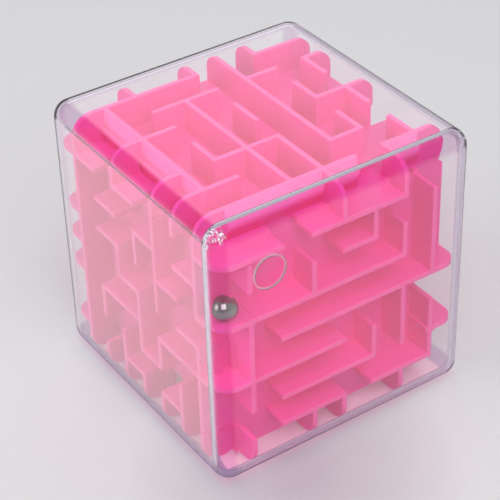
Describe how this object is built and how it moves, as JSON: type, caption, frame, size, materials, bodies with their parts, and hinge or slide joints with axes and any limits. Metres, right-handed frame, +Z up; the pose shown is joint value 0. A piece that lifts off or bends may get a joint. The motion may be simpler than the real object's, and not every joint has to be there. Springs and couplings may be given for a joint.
{
  "type": "3d maze ball puzzle",
  "caption": "Hand-held maze cube: a clear closed box round a cube of pink maze panels, with a steel ball that rolls in the lanes between walls and box.",
  "frame": {"origin": "middle of the face the case stands on", "axes": "+Z up, -Y towards the lid (front), +X to the right seen from the front"},
  "size_m": [0.06, 0.06, 0.06],
  "materials": {
    "clear_case": "clear, polished",
    "pink_maze": "translucent magenta pink, glossy",
    "steel": "polished steel"
  },
  "bodies": {
    "maze_cube": {"case_body": "clear_case", "case_lid": "clear_case", "top_panel": "pink_maze", "bottom_panel": "pink_maze", "front_panel": "pink_maze", "back_panel": "pink_maze", "left_panel": "pink_maze", "right_panel": "pink_maze"},
    "ball": {"steel_ball": "steel"}
  },
  "joints": [
    {"name": "ball_roll", "type": "slide", "parent": "maze_cube", "child": "ball", "axis": [1, 0, 0], "range_m": [0, 0.0146]}
  ]
}
